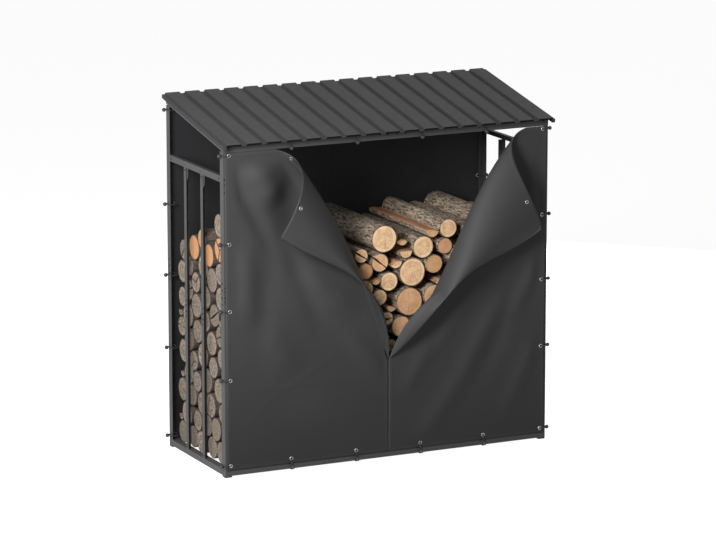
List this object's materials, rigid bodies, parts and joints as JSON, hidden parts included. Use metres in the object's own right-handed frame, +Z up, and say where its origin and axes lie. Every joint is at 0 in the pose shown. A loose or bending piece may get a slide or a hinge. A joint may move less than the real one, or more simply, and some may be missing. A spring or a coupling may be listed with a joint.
{
  "type": "log store",
  "caption": "Metal log store with a ribbed mono-pitch roof, slatted open sides, laced fabric front and back covers, and stacked firewood; the front cover is peeled open.",
  "frame": {"origin": "middle of the footprint of the whole store, on the floor", "axes": "+Z up, +X to the right along the width seen from the front, +Y from the front to the back"},
  "size_m": [1.8318, 0.8848, 1.8102],
  "materials": {
    "frame_steel": "satin powder coat, near black",
    "roof_steel": "matt powder coat, anthracite",
    "cover_fabric": "coated woven sheet, soft sheen",
    "lacing": "elastic cord and smooth plastic balls",
    "feet_rubber": "matt",
    "log_wood": "bark with freshly cut ends",
    "weathered_wood": "weathered cut ends"
  },
  "bodies": {
    "root": {"feet": "feet_rubber", "base_rail_front": "frame_steel", "base_rail_back": "frame_steel", "base_rail_left": "frame_steel", "base_rail_right": "frame_steel", "floor_bar": "frame_steel", "post_front_left": "frame_steel", "post_front_right": "frame_steel", "post_back_left": "frame_steel", "post_back_right": "frame_steel", "post_splices": "frame_steel", "side_rail_left": "frame_steel", "side_rail_right": "frame_steel", "left_bar_front": "frame_steel", "left_bar_rear": "frame_steel", "right_bar_front": "frame_steel", "right_bar_rear": "frame_steel", "front_beam": "frame_steel", "back_beam": "frame_steel", "rafter_left": "frame_steel", "rafter_right": "frame_steel", "roof_sheet_left": "roof_steel", "roof_sheet_middle": "roof_steel", "roof_sheet_right": "roof_steel", "roof_trim_left": "roof_steel", "roof_trim_right": "roof_steel", "front_cover_left": "cover_fabric", "front_cover_right": "cover_fabric", "front_leaf_left": "cover_fabric", "front_leaf_right": "cover_fabric", "back_cover": "cover_fabric", "lacing_front_left": "lacing", "lacing_front_right": "lacing", "lacing_front_bottom": "lacing", "lacing_front_top": "lacing", "lacing_back_left": "lacing", "lacing_back_right": "lacing", "lacing_back_bottom": "lacing", "lacing_back_top": "lacing", "end_logs_lower": "weathered_wood", "end_logs_middle": "weathered_wood", "end_logs_upper": "weathered_wood", "logs_bottom": "log_wood", "logs_lower": "log_wood", "logs_middle": "log_wood", "logs_upper": "log_wood", "logs_top": "log_wood"}
  },
  "joints": []
}
